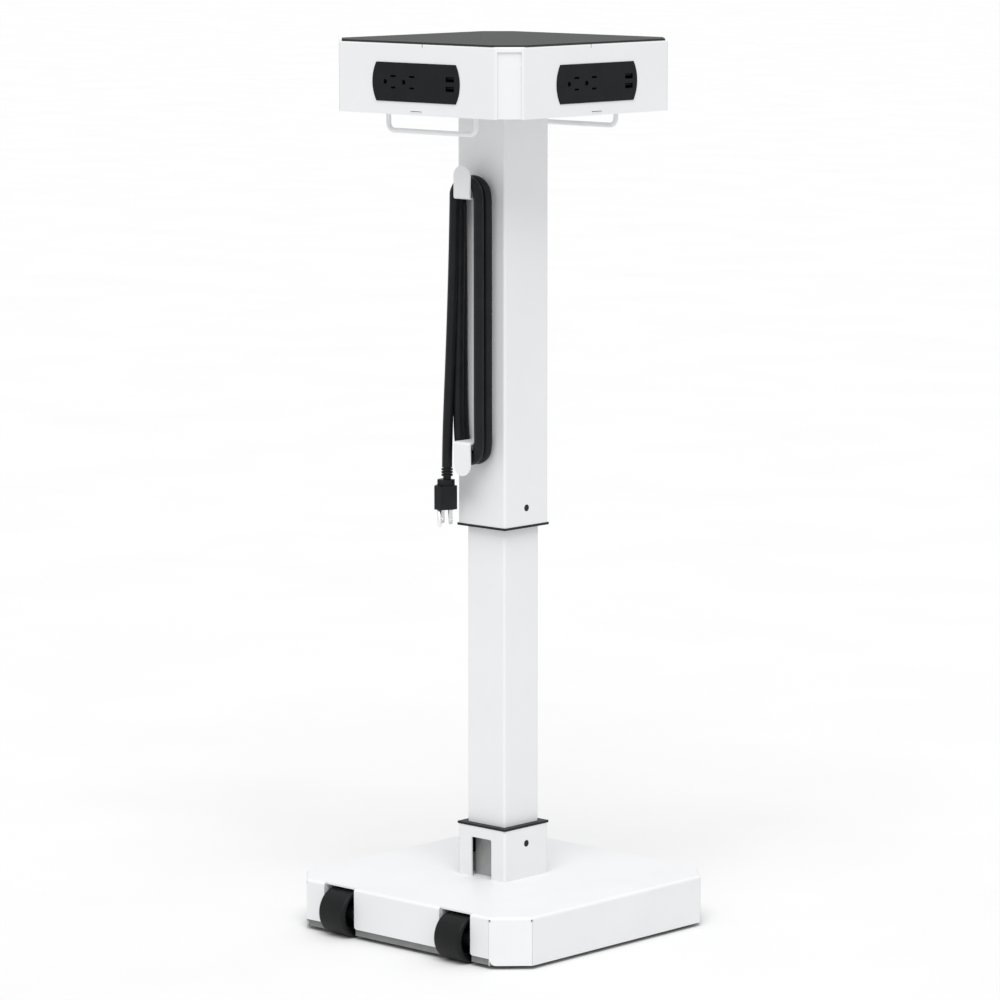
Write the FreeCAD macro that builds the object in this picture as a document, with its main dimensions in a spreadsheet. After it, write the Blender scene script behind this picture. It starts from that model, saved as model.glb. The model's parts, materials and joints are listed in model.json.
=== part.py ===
import FreeCAD, Part

# Mobile power tower: a weighted base on two wheels, a telescopic square column and a square head
# with four power modules. Millimetres, +Z up, origin on the floor under the middle of the object.

import math
import os

import Sketcher

vector = FreeCAD.Vector
document = FreeCAD.newDocument("PowerTower")
sheet = document.addObject("Spreadsheet::Sheet", "Sizes")
subparts = {}


# ---------------------------------------------------------------- sizes that know their expression


class Size:
    """A length in millimetres together with the spreadsheet expression that gives it."""

    def __init__(self, number, text):
        self.number = number
        self.text = text

    def __add__(self, other):
        other = as_size(other)
        return Size(self.number + other.number, f"({self.text} + {other.text})")

    def __sub__(self, other):
        other = as_size(other)
        return Size(self.number - other.number, f"({self.text} - {other.text})")

    def __mul__(self, other):
        other = as_size(other)
        return Size(self.number * other.number, f"({self.text} * {other.text})")

    def __truediv__(self, other):
        other = as_size(other)
        return Size(self.number / other.number, f"({self.text} / {other.text})")

    def __neg__(self):
        return Size(-self.number, f"(0 - {self.text})")

    def __radd__(self, other):
        return as_size(other) + self

    def __rsub__(self, other):
        return as_size(other) - self

    def __rmul__(self, other):
        return as_size(other) * self


def as_size(value):
    """Turn a plain number into a Size; leave a Size as it is."""
    if isinstance(value, Size):
        return value
    return Size(float(value), f"({float(value):.6f})")


sheet_aliases = []


def driving(alias, number):
    """Write one driving dimension to the sheet and return it as a Size."""
    sheet_aliases.append(alias)
    row = len(sheet_aliases)
    sheet.set(f"A{row}", alias)
    sheet.set(f"B{row}", str(number))
    sheet.setAlias(f"B{row}", alias)
    return Size(float(number), f"Sizes.{alias}")


def bind(thing, path, value):
    """Drive one property of an object from the sheet."""
    thing.setExpression(path, as_size(value).text)


# ---------------------------------------------------------------- driving dimensions

axis_shift = driving("axis_shift", 7.6)

base_half = driving("base_half", 178.0)
base_clip = driving("base_clip", 34.5)
base_top = driving("base_top", 59.4)
base_sheet = driving("base_sheet", 2.0)
base_bend = driving("base_bend", 3.4)
skirt_bottom = driving("skirt_bottom", 4.5)
front_skirt_bottom = driving("front_skirt_bottom", 12.5)
notch_round = driving("notch_round", 3.5)
notch_relief = driving("notch_relief", 0.9)
flap_round = driving("flap_round", 7.5)
slit_width = driving("slit_width", 0.4)
relief_radius = driving("relief_radius", 1.45)

ballast_thickness = driving("ballast_thickness", 10.0)
ballast_gap = driving("ballast_gap", 0.5)
foot_radius = driving("foot_radius", 15.0)
foot_offset = driving("foot_offset", 132.0)

wheel_radius = driving("wheel_radius", 27.6)
wheel_width = driving("wheel_width", 39.5)
wheel_offset = driving("wheel_offset", 91.0)
wheel_setback = driving("wheel_setback", 165.0)
wheel_slot_half = driving("wheel_slot_half", 24.0)
tyre_round = driving("tyre_round", 3.2)
hub_radius = driving("hub_radius", 20.5)
hub_width = driving("hub_width", 26.0)
bush_radius = driving("bush_radius", 6.0)
axle_radius = driving("axle_radius", 4.0)
running_gap = driving("running_gap", 0.05)
cheek_thickness = driving("cheek_thickness", 2.5)
cheek_top = driving("cheek_top", 57.0)

tube_wall = driving("tube_wall", 2.0)
tube_corner = driving("tube_corner", 3.0)
collar_half = driving("collar_half", 36.7)
collar_top = driving("collar_top", 118.7)
window_half = driving("window_half", 15.6)
window_top = driving("window_top", 105.8)
post_half = driving("post_half", 23.4)
post_wall = driving("post_wall", 2.5)
post_top = driving("post_top", 330.0)
post_flange_half = driving("post_flange_half", 55.0)
post_flange_thickness = driving("post_flange_thickness", 5.0)
post_screw_offset = driving("post_screw_offset", 46.0)
post_hole_radius = driving("post_hole_radius", 3.3)
flange_thickness = driving("flange_thickness", 2.7)
flange_overhang = driving("flange_overhang", 0.5)
bushing_skirt = driving("bushing_skirt", 35.7)
nub_radius = driving("nub_radius", 4.0)
lower_nub_height = driving("lower_nub_height", 99.6)
upper_nub_height = driving("upper_nub_height", 490.2)
middle_half = driving("middle_half", 29.1)
middle_bottom = driving("middle_bottom", 108.0)
middle_top = driving("middle_top", 590.0)
outer_half = driving("outer_half", 36.6)
outer_bottom = driving("outer_bottom", 470.1)
sliding_gap = driving("sliding_gap", 0.3)
fixed_gap = driving("fixed_gap", 0.1)

spring_radius = driving("spring_radius", 11.0)
spring_wall = driving("spring_wall", 1.5)
spring_top = driving("spring_top", 525.0)
spring_rod_radius = driving("spring_rod_radius", 5.0)
spring_piston_height = driving("spring_piston_height", 493.0)

head_half = driving("head_half", 142.2)
head_clip = driving("head_clip", 21.9)
head_bottom = driving("head_bottom", 941.9)
head_top = driving("head_top", 1021.1)
head_sheet = driving("head_sheet", 2.0)
head_bend = driving("head_bend", 6.5)
head_opening_half = driving("head_opening_half", 116.0)
top_bend = driving("top_bend", 2.2)
corner_rim = driving("corner_rim", 5.5)
corner_window_width = driving("corner_window_width", 26.8)
floor_thickness = driving("floor_thickness", 1.5)
floor_height = driving("floor_height", 944.2)
tab_width = driving("tab_width", 16.6)
tab_play = driving("tab_play", 0.25)
lid_half = driving("lid_half", 141.6)
lid_clip = driving("lid_clip", 25.6)
lid_thickness = driving("lid_thickness", 2.0)

lid_hole_radius = driving("lid_hole_radius", 1.7)
lid_screw_near = driving("lid_screw_near", 90.0)
lid_screw_far = driving("lid_screw_far", 128.0)
lid_screw_side = driving("lid_screw_side", 60.0)
hanger_half = driving("hanger_half", 52.0)
hanger_thickness = driving("hanger_thickness", 4.0)
hanger_screw_offset = driving("hanger_screw_offset", 44.0)
hanger_hole_radius = driving("hanger_hole_radius", 2.6)
junction_half = driving("junction_half", 38.0)
junction_near = driving("junction_near", 12.0)
junction_far = driving("junction_far", 40.0)
junction_height = driving("junction_height", 34.0)
junction_wall = driving("junction_wall", 2.5)
riser_middle = driving("riser_middle", 20.0)
riser_spacing = driving("riser_spacing", 4.0)
lead_radius = driving("lead_radius", 2.5)
wire_notch_left = driving("wire_notch_left", 28.0)
wire_notch_right = driving("wire_notch_right", 12.0)

face_length = driving("face_length", 134.0)
face_height = driving("face_height", 43.4)
face_bow = driving("face_bow", 6.0)
face_proud = driving("face_proud", 1.0)
module_height = driving("module_height", 978.0)
module_depth = driving("module_depth", 42.0)

hook_radius = driving("hook_radius", 2.8)
hook_span_half = driving("hook_span_half", 67.3)
hook_rod_height = driving("hook_rod_height", 921.9)
hook_setback = driving("hook_setback", 116.5)
hook_bend = driving("hook_bend", 8.5)

bracket_half = driving("bracket_half", 12.3)
bracket_thickness = driving("bracket_thickness", 2.2)
bracket_reach = driving("bracket_reach", 68.9)
bracket_bottom = driving("bracket_bottom", 566.9)
bracket_top = driving("bracket_top", 846.7)
bracket_screw_radius = driving("bracket_screw_radius", 2.2)
bracket_screw_low = driving("bracket_screw_low", 622.0)
bracket_screw_high = driving("bracket_screw_high", 791.0)
tab_bottom = driving("tab_bottom", 530.4)
tab_top = driving("tab_top", 882.5)

cord_radius = driving("cord_radius", 5.9)
cord_exit = driving("cord_exit", 42.6)
cord_front = driving("cord_front", 60.2)
cord_fold = driving("cord_fold", 18.6)
loop_bottom = driving("loop_bottom", 566.2)
loop_top = driving("loop_top", 846.3)
hank_inner = driving("hank_inner", 12.7)
gland_offset = driving("gland_offset", 25.0)
gland_z = driving("gland_z", 852.0)
gland_mouth_z = driving("gland_mouth_z", 838.0)
gland_throat = driving("gland_throat", 5.0)
gland_disc_radius = driving("gland_disc_radius", 8.5)
gland_disc_thickness = driving("gland_disc_thickness", 2.5)
gland_sleeve_radius = driving("gland_sleeve_radius", 5.99)
gland_mouth_radius = driving("gland_mouth_radius", 5.95)
wire_radius = driving("wire_radius", 1.6)
plug_half_width = driving("plug_half_width", 12.0)
plug_half_nose = driving("plug_half_nose", 5.5)
plug_back = driving("plug_back", 6.3)
plug_front = driving("plug_front", 14.6)
blade_spacing = driving("blade_spacing", 12.7)
blade_width = driving("blade_width", 6.2)
blade_thickness = driving("blade_thickness", 1.5)
earth_setback = driving("earth_setback", 11.6)
earth_radius = driving("earth_radius", 2.4)
earth_lead = driving("earth_lead", 2.5)
plug_lean = driving("plug_lean", 1.2)
plug_core_radius = driving("plug_core_radius", 4.6)
rib_radius = driving("rib_radius", 6.5)
rib_height = driving("rib_height", 2.0)
rib_pitch = driving("rib_pitch", 3.3)
plug_bottom = driving("plug_bottom", 489.0)
plug_top = driving("plug_top", 526.0)
prong_bottom = driving("prong_bottom", 469.0)

document.recompute()

# ---------------------------------------------------------------- worked-out heights and places

collar_inner = collar_half - tube_wall
outer_inner = outer_half - tube_wall
middle_inner = middle_half - tube_wall
ballast_top = skirt_bottom + ballast_thickness
post_foot = ballast_top + post_flange_thickness
floor_top = floor_height + floor_thickness
hanger_top = floor_top + hanger_thickness
gland_x = -gland_offset
bracket_screw_heights = (bracket_screw_low, bracket_screw_high)
lid_screw_places = [
    (-lid_screw_near, -lid_screw_far), (lid_screw_near, -lid_screw_far),
    (-lid_screw_near, lid_screw_far), (lid_screw_near, lid_screw_far),
    (-lid_screw_far, -lid_screw_side), (-lid_screw_far, lid_screw_side),
    (lid_screw_far, -lid_screw_side), (lid_screw_far, lid_screw_side),
]


# ---------------------------------------------------------------- building blocks


def finish(label, thing, turn=0.0):
    """Name a finished sub-part and set it on the column axis, turned about it by turn degrees."""
    thing.Label = label
    thing.Placement = FreeCAD.Placement(vector(), FreeCAD.Rotation(vector(0, 0, 1), turn))
    bind(thing, "Placement.Base.y", axis_shift)
    subparts[label] = thing
    return thing


def box(name, x, y, z):
    """A block between the pairs x, y and z."""
    block = document.addObject("Part::Box", name)
    for side, axis, (low, high) in (("Length", "x", x), ("Width", "y", y), ("Height", "z", z)):
        bind(block, side, as_size(high) - low)
        bind(block, "Placement.Base." + axis, low)
    return block


AXES = {
    "x": FreeCAD.Rotation(vector(0, 1, 0), 90),
    "y": FreeCAD.Rotation(vector(1, 0, 0), -90),
    "z": FreeCAD.Rotation(),
}


def put(thing, x, y, z, rotation):
    """Place a primitive with its position driven from the sheet."""
    thing.Placement = FreeCAD.Placement(vector(), rotation)
    for axis, value in (("x", x), ("y", y), ("z", z)):
        bind(thing, "Placement.Base." + axis, value)
    return thing


def rod(name, axis, start, length, radius):
    """A round bar from the point start along +axis."""
    bar = document.addObject("Part::Cylinder", name)
    bind(bar, "Radius", radius)
    bind(bar, "Height", length)
    return put(bar, *start, AXES[axis])


def cone(name, axis, start, length, first_radius, last_radius):
    """A tapered bar from the point start along +axis."""
    taper = document.addObject("Part::Cone", name)
    bind(taper, "Radius1", first_radius)
    bind(taper, "Radius2", last_radius)
    bind(taper, "Height", length)
    return put(taper, *start, AXES[axis])


def quarter_bend(name, centre, bend_radius, wire, start, end):
    """A quarter of a ring of round wire about centre, from direction start to direction end."""
    ring = document.addObject("Part::Torus", name)
    bind(ring, "Radius1", bend_radius)
    bind(ring, "Radius2", wire)
    ring.Angle3 = 90
    return put(ring, *centre, FreeCAD.Rotation(start, end, start.cross(end), "XYZ"))


def fuse(name, shapes):
    """Join overlapping or touching shapes into one solid."""
    joined = document.addObject("Part::MultiFuse", name)
    joined.Shapes = shapes
    joined.Refine = True
    return joined


def group(name, shapes):
    """Keep separate solids together in one sub-part."""
    together = document.addObject("Part::Compound", name)
    together.Links = shapes
    return together


def cut(name, base, tools):
    """Take the tools away from the base."""
    result = document.addObject("Part::Cut", name)
    result.Base = base
    result.Tool = tools[0] if len(tools) == 1 else group(name + "_tools", tools)
    result.Refine = True
    return result


def body(name):
    return document.addObject("PartDesign::Body", name)


def sketch(owner, name, role, level=0.0, across=0.0, up=0.0):
    """A sketch on an origin plane of its own body, moved out by level and sideways by across and up."""
    drawing = owner.newObject("Sketcher::SketchObject", f"{owner.Name}_{name}")
    plane = next(item for item in owner.Origin.OriginFeatures if item.Role == role)
    drawing.AttachmentSupport = [(plane, "")]
    drawing.MapMode = "FlatFace"
    for axis, value in (("x", across), ("y", up), ("z", level)):
        bind(drawing, "AttachmentOffset.Base." + axis, value)
    return drawing


def pin_point(drawing, geometry, end, x, y):
    """Hold one point of a sketch at x, y from the sketch's origin."""
    for kind, value, line in (("DistanceX", x, -2), ("DistanceY", y, -1)):
        if abs(value.number) < 1e-9:
            drawing.addConstraint(Sketcher.Constraint("PointOnObject", geometry, end, line))
        else:
            rule = Sketcher.Constraint(kind, -1, 1, geometry, end, value.number)
            number = drawing.addConstraint(rule)
            drawing.setExpression(f"Constraints[{number}]", value.text)


def draw_polygon(drawing, corners):
    """Draw a closed outline of straight lines and hold every corner."""
    corners = [(as_size(x), as_size(y)) for x, y in corners]
    first = drawing.GeometryCount
    count = len(corners)
    for index, (x, y) in enumerate(corners):
        next_x, next_y = corners[(index + 1) % count]
        line = Part.LineSegment(vector(x.number, y.number), vector(next_x.number, next_y.number))
        drawing.addGeometry(line)
    for index, (x, y) in enumerate(corners):
        following = first + (index + 1) % count
        drawing.addConstraint(Sketcher.Constraint("Coincident", first + index, 2, following, 1))
        pin_point(drawing, first + index, 1, x, y)
    return drawing


def draw_rectangle(drawing, x, y):
    return draw_polygon(drawing, [(x[0], y[0]), (x[1], y[0]), (x[1], y[1]), (x[0], y[1])])


def draw_circle(drawing, x, y, radius):
    x, y, radius = as_size(x), as_size(y), as_size(radius)
    circle = Part.Circle(vector(x.number, y.number), vector(0, 0, 1), radius.number)
    number = drawing.addGeometry(circle)
    pin_point(drawing, number, 3, x, y)
    rule = drawing.addConstraint(Sketcher.Constraint("Radius", number, radius.number))
    drawing.setExpression(f"Constraints[{rule}]", radius.text)
    return drawing


def pad(owner, drawing, length, reverse=False, midplane=False):
    """Raise a sketch along its normal."""
    feature = owner.newObject("PartDesign::Pad", drawing.Name + "_pad")
    feature.Profile = drawing
    feature.Reversed = reverse
    feature.Midplane = midplane
    bind(feature, "Length", length)
    return feature


def pocket(owner, drawing, length, along_normal=False):
    """Cut a sketch into the body, against its normal unless along_normal, and check that it cuts."""
    document.recompute()
    before = owner.Shape.Volume
    feature = owner.newObject("PartDesign::Pocket", drawing.Name + "_pocket")
    feature.Profile = drawing
    feature.Reversed = along_normal
    bind(feature, "Length", length)
    document.recompute()
    if owner.Shape.Volume > before - 0.01:
        raise RuntimeError(f"{feature.Name} cuts nothing")
    return feature


def polar(owner, features, count):
    """Repeat features about the column axis."""
    pattern = owner.newObject("PartDesign::PolarPattern", f"{owner.Name}_{features[0].Name}_ring")
    pattern.Originals = features
    axis = next(item for item in owner.Origin.OriginFeatures if item.Role == "Z_Axis")
    pattern.Axis = (axis, [""])
    pattern.Angle = 360
    pattern.Occurrences = count
    owner.Tip = pattern
    return pattern


def round_edges(owner, name, radius, chosen):
    """Fillet those edges of the body so far that pass the test."""
    document.recompute()
    tip = owner.Tip
    names = [f"Edge{number}" for number, edge in enumerate(tip.Shape.Edges, 1) if chosen(edge)]
    if not names:
        raise RuntimeError(f"{owner.Name}: no edges for {name}")
    feature = owner.newObject("PartDesign::Fillet", f"{owner.Name}_{name}")
    feature.Base = (tip, names)
    bind(feature, "Radius", radius)
    return feature


def ends(edge):
    return edge.firstVertex().Point, edge.lastVertex().Point


def runs_along(edge, axis):
    """True for a straight edge parallel to axis."""
    first, last = ends(edge)
    step = last - first
    return step.Length > 1e-6 and abs(abs(step.normalize().dot(axis)) - 1) < 1e-6


def at_level(edge, level):
    first, last = ends(edge)
    return abs(first.z - level.number) < 1e-4 and abs(last.z - level.number) < 1e-4


UP = vector(0, 0, 1)
ALONG_X = vector(1, 0, 0)
ALONG_Y = vector(0, 1, 0)


def octagon(half, clip):
    """Corners of a square with its corners cut off."""
    flat = half - clip
    return [
        (flat, -half), (half, -flat), (half, flat), (flat, half),
        (-flat, half), (-half, flat), (-half, -flat), (-flat, -half),
    ]


def inner_octagon(half, clip, wall):
    """The octagon one wall thickness inside octagon(half, clip)."""
    return octagon(half - wall, clip - wall * (2 - math.sqrt(2)))


def square_tube(name, half, wall, corner, bottom, top):
    """A square tube with rounded corners, centred on the column axis."""
    tube = body(name)
    outline = draw_rectangle(sketch(tube, "outline", "XY_Plane", bottom), (-half, half), (-half, half))
    pad(tube, outline, top - bottom)
    round_edges(tube, "corners", corner, lambda edge: runs_along(edge, UP))
    bore = half - wall
    inside = draw_rectangle(sketch(tube, "inside", "XY_Plane", top), (-bore, bore), (-bore, bore))
    pocket(tube, inside, top - bottom)
    return tube


def socket_screws(label, places, bottom, seat, shank, head_radius, head_height, upward=True):
    """Cap screws with a round socket: shanks from bottom to seat and heads beyond the seat."""
    screws = []
    for number, (x, y) in enumerate(places, 1):
        head_start = seat if upward else seat - head_height
        socket_start = seat + head_height / 2 if upward else seat - head_height
        shank_low, shank_high = (bottom, seat) if upward else (seat, bottom)
        part_name = f"{label}_{number}"
        solid = fuse(part_name, [
            rod(part_name + "_shank", "z", (x, y, shank_low), shank_high - shank_low, shank),
            rod(part_name + "_head", "z", (x, y, head_start), head_height, head_radius),
        ])
        socket = rod(part_name + "_socket", "z", (x, y, socket_start), head_height / 2, shank * 0.6)
        screws.append(cut(part_name + "_cut", solid, [socket]))
    finish(label, group(label, screws))


# ---------------------------------------------------------------- base


def wheel_span(side, half):
    """The X range of something 2 x half wide at the wheel on one side (-1 left, +1 right)."""
    centre = wheel_offset * side
    return centre - half, centre + half


def make_base_cover():
    """Folded sheet: flat top, skirts, corner flaps, wheel notches and the opening for the post."""
    cover = body("base_cover")
    height = base_top - skirt_bottom
    outline = draw_polygon(sketch(cover, "outline", "XY_Plane", skirt_bottom), octagon(base_half, base_clip))
    pad(cover, outline, height)
    round_edges(cover, "bends", base_bend, lambda edge: at_level(edge, base_top))
    inside = sketch(cover, "inside", "XY_Plane", skirt_bottom)
    draw_polygon(inside, inner_octagon(base_half, base_clip, base_sheet))
    pocket(cover, inside, height - base_sheet, along_normal=True)
    opening = sketch(cover, "opening", "XY_Plane", base_top)
    span = post_half + sliding_gap
    draw_rectangle(opening, (-span, span), (-span, span))
    pocket(cover, opening, base_sheet)

    flat = base_half - base_clip
    ceiling = base_top + 1
    below = skirt_bottom - 1
    left_notch = wheel_span(-1, wheel_slot_half)
    right_notch = wheel_span(1, wheel_slot_half)
    comb = [(-flat, below), (-flat, front_skirt_bottom)]
    for low, high in (left_notch, right_notch):
        comb += [(low, front_skirt_bottom), (low, ceiling), (high, ceiling), (high, front_skirt_bottom)]
    comb += [(flat, front_skirt_bottom), (flat, below)]
    front = draw_polygon(sketch(cover, "front", "XZ_Plane", base_half - base_sheet * 2), comb)
    pocket(cover, front, base_sheet * 3, along_normal=True)

    def skirt_corner(edge):
        first, last = ends(edge)
        return (
            runs_along(edge, ALONG_Y)
            and abs(first.z - front_skirt_bottom.number) < 1e-4
            and abs(first.x) < flat.number - 1
        )

    round_edges(cover, "notch_corners", notch_round, skirt_corner)

    slits = sketch(cover, "slits", "XY_Plane", skirt_bottom)
    reach = base_sheet + 1
    draw_rectangle(slits, (flat - slit_width, flat), (-base_half - 1, -base_half + reach))
    draw_rectangle(slits, (base_half - reach, base_half + 1), (-flat - slit_width, -flat))
    slit_cut = pocket(cover, slits, height - base_bend - relief_radius, along_normal=True)
    dots = sketch(cover, "dots", "XY_Plane", base_top - base_bend + 1)
    draw_circle(dots, flat, -base_half + 1, relief_radius)
    draw_circle(dots, base_half - 1, -flat, relief_radius)
    dot_cut = pocket(cover, dots, relief_radius * 2)
    polar(cover, [slit_cut, dot_cut], 4)
    reliefs = sketch(cover, "notch_reliefs", "XY_Plane", base_top)
    for edge_x in (*left_notch, *right_notch):
        draw_circle(reliefs, edge_x, -base_half + base_sheet * 2, notch_relief)
    pocket(cover, reliefs, base_sheet)
    finish("base_cover", cut("base_cover_cut", cover, [flap_corner("left", -1), flap_corner("right", 1)]))


def flap_corner(side, sign):
    """What rounds off the lower corner of a front flap, beside the end of the front skirt."""
    name = f"flap_corner_{side}"
    depth = base_sheet * 3
    block = box(name + "_block", (0, flap_round), (-depth / 2, depth / 2), (0, flap_round))
    quarter = rod(name + "_round", "y", (flap_round, -depth / 2, flap_round), depth, flap_round)
    tool = cut(name, block, [quarter])
    tool.Placement = FreeCAD.Placement(vector(), FreeCAD.Rotation(UP, 45 if sign > 0 else 135))
    flat = base_half - base_clip
    inset = base_sheet / 2
    bind(tool, "Placement.Base.x", flat * sign)
    bind(tool, "Placement.Base.y", -base_half + inset)
    bind(tool, "Placement.Base.z", skirt_bottom)
    return tool


def make_ballast_plate():
    """Thick steel plate that fills the base from skirt to skirt, with slots for the wheels."""
    plate = body("ballast_plate")
    half = base_half - base_sheet - ballast_gap
    clip = base_clip - (base_sheet + ballast_gap) * (2 - math.sqrt(2))
    outline = draw_polygon(sketch(plate, "outline", "XY_Plane", skirt_bottom), octagon(half, clip))
    pad(plate, outline, ballast_thickness)
    slots = sketch(plate, "slots", "XY_Plane", ballast_top)
    rear = -(wheel_setback - wheel_radius) + 2.5
    for side in (-1, 1):
        draw_rectangle(slots, wheel_span(side, wheel_slot_half), (-half - 1, rear))
    pocket(plate, slots, ballast_thickness)
    holes = sketch(plate, "holes", "XY_Plane", ballast_top)
    for x, y in corners_of(post_screw_offset):
        draw_circle(holes, x, y, post_hole_radius)
    pocket(plate, holes, ballast_thickness)
    finish("ballast_plate", plate)


def corners_of(half):
    """The four places at plus and minus half from the column axis."""
    return [(-half, -half), (half, -half), (half, half), (-half, half)]


def make_feet():
    feet = []
    for side, sign in (("left", -1), ("right", 1)):
        name = f"foot_{side}"
        centre = (foot_offset * sign, foot_offset, 0)
        pad_block = rod(name, "z", centre, skirt_bottom, foot_radius)
        recess = rod(name + "_recess", "z", centre, 1.5, foot_radius / 3)
        feet.append(cut(name + "_cut", pad_block, [recess]))
    finish("base_feet", group("base_feet", feet))


def make_wheel(side, sign):
    """Bracket, fixed axle, and the tyre, hub and bush that turn on it."""
    slot = wheel_span(sign, wheel_slot_half)
    outside = (slot[0] - cheek_thickness, slot[1] + cheek_thickness)
    front = -wheel_setback - 10
    web = -(wheel_setback - wheel_radius) + 4
    shell = box(f"bracket_{side}_block", outside, (front, web + cheek_thickness), (ballast_top, cheek_top))
    hollow = box(f"bracket_{side}_hollow", slot, (front - 1, web), (ballast_top - 1, cheek_top + 1))
    bore = rod(f"bracket_{side}_bore", "x", (outside[0] - 1, -wheel_setback, wheel_radius),
               outside[1] - outside[0] + 2, axle_radius)
    channel = cut(f"bracket_{side}_channel", shell, [hollow, bore])
    flange = box(f"bracket_{side}_flange", outside, (web + cheek_thickness, web + 20),
                 (ballast_top, ballast_top + cheek_thickness))
    finish(f"wheel_bracket_{side}", fuse(f"wheel_bracket_{side}", [channel, flange]))

    head = 2.5
    axle = fuse(f"wheel_axle_{side}", [
        rod(f"axle_{side}_shaft", "x", (outside[0] - head, -wheel_setback, wheel_radius),
            outside[1] - outside[0] + head * 2, axle_radius),
        rod(f"axle_{side}_head", "x", (outside[1], -wheel_setback, wheel_radius), head, axle_radius * 1.6),
        rod(f"axle_{side}_clip", "x", (outside[0] - head, -wheel_setback, wheel_radius), head,
            axle_radius * 1.6),
    ])
    finish(f"wheel_axle_{side}", axle)

    half = wheel_width / 2
    hub_half = hub_width / 2
    boss_half = wheel_slot_half - 1.2

    def turned(label, profile):
        piece = body(label)
        drawing = sketch(piece, "profile", "XZ_Plane", wheel_setback, wheel_offset * sign, wheel_radius)
        draw_polygon(drawing, profile)
        spin = piece.newObject("PartDesign::Revolution", label + "_turn")
        spin.Profile = drawing
        spin.ReferenceAxis = (drawing, ["H_Axis"])
        spin.Angle = 360
        return piece

    tyre = turned(f"wheel_{side}_tyre", [
        (-half, wheel_radius), (half, wheel_radius), (half, hub_radius + 2.5),
        (hub_half, hub_radius), (-hub_half, hub_radius), (-half, hub_radius + 2.5),
    ])

    def shoulder(edge):
        radius = getattr(edge.Curve, "Radius", 0)
        return abs(radius - wheel_radius.number) < 1e-4

    round_edges(tyre, "shoulders", tyre_round, shoulder)
    finish(f"wheel_{side}_tyre", tyre)

    rim = hub_radius - 2.5
    boss = bush_radius + 3
    web_half = 2.5
    hub = turned(f"wheel_{side}_hub", [
        (-hub_half, hub_radius), (hub_half, hub_radius), (hub_half, rim), (web_half, rim),
        (web_half, boss), (boss_half, boss), (boss_half, bush_radius), (-boss_half, bush_radius),
        (-boss_half, boss), (-web_half, boss), (-web_half, rim), (-hub_half, rim),
    ])
    finish(f"wheel_{side}_hub", hub)
    bore_radius = axle_radius + running_gap
    bush = turned(f"wheel_{side}_bush", [
        (-boss_half, bush_radius), (boss_half, bush_radius),
        (boss_half, bore_radius), (-boss_half, bore_radius),
    ])
    finish(f"wheel_{side}_bush", bush)


# ---------------------------------------------------------------- fixed half of the column


def side_holes(tube, height):
    """Round holes through both X faces of a tube, where the bushing's nubs snap in."""
    drawing = draw_circle(sketch(tube, "nub_holes", "YZ_Plane", 60), 0, height, nub_radius)
    pocket(tube, drawing, 120)


def make_collar():
    """Short square tube on the base cover with a window in its front face."""
    collar = square_tube("collar", collar_half, tube_wall, tube_corner, base_top, collar_top)
    window = sketch(collar, "window", "XZ_Plane", collar_half + 1)
    draw_rectangle(window, (-window_half, window_half), (base_top - 1, window_top))
    pocket(collar, window, tube_wall + 2)

    def top_corner(edge):
        first, _ = ends(edge)
        return runs_along(edge, ALONG_Y) and abs(first.z - window_top.number) < 1e-4

    round_edges(collar, "window_corners", 2, top_corner)
    side_holes(collar, lower_nub_height)
    finish("collar", collar)


def make_post():
    """Inner square post on a foot flange that is screwed to the ballast plate."""
    tube = square_tube("post_tube", post_half, post_wall, tube_corner, post_foot, post_top)
    span = (-post_flange_half, post_flange_half)
    foot = box("post_foot", span, span, (ballast_top, post_foot))
    holes = [rod(f"post_hole_{number}", "z", (x, y, ballast_top - 1), post_flange_thickness + 2,
                 post_hole_radius)
             for number, (x, y) in enumerate(corners_of(post_screw_offset), 1)]
    finish("column_post", fuse("column_post", [tube, cut("post_foot_drilled", foot, holes)]))
    shank = post_hole_radius - fixed_gap * 3
    socket_screws("post_screws", corners_of(post_screw_offset), skirt_bottom + 1, post_foot,
                  shank, shank * 2, shank + 2)


def square_ring(name, inner, outer, bottom, top):
    """A square ring between two half widths."""
    block = box(name + "_block", (-outer, outer), (-outer, outer), (bottom, top))
    bore = box(name + "_bore", (-inner, inner), (-inner, inner), (bottom - 1, top + 1))
    return cut(name, block, [bore])


def make_spacers():
    """Two sleeves that centre the middle tube on the post."""
    low = square_ring("spacer_low", post_half, middle_inner, middle_bottom + 4, middle_bottom + 34)
    high = square_ring("spacer_high", post_half, middle_inner, post_top - 32, post_top - 2)
    finish("post_spacers", group("post_spacers", [low, high]))


def make_bushing(label, tube_half, flange_bottom, skirt_up, nub_height, cutaway):
    """Plastic bushing: a flange on the tube's end, a skirt inside the tube and a nub on each side."""
    bore = middle_half + sliding_gap
    rim = tube_half + flange_overhang
    skirt_outer = tube_half - tube_wall - fixed_gap
    flange_top = flange_bottom + flange_thickness
    skirt = (flange_bottom - bushing_skirt, flange_bottom)
    if skirt_up:
        skirt = (flange_top, flange_top + bushing_skirt)
    solids = [
        square_ring(label + "_flange", bore, rim, flange_bottom, flange_top),
        square_ring(label + "_skirt", bore, skirt_outer, *skirt),
    ]
    nub_length = tube_wall + fixed_gap * 1.5
    for name, start in (("_nub_left", -tube_half + 0.15), ("_nub_right", tube_half - 0.15 - nub_length)):
        solids.append(rod(label + name, "x", (start, 0, nub_height), nub_length, nub_radius - fixed_gap))
    whole = fuse(label + "_whole", solids)
    if cutaway:
        opening = box(label + "_opening", (-bore, bore), (-rim - 1, -bore + 1), (skirt[0] - 1, skirt[1]))
        whole = cut(label + "_cut", whole, [opening])
    finish(label, whole)


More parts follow.
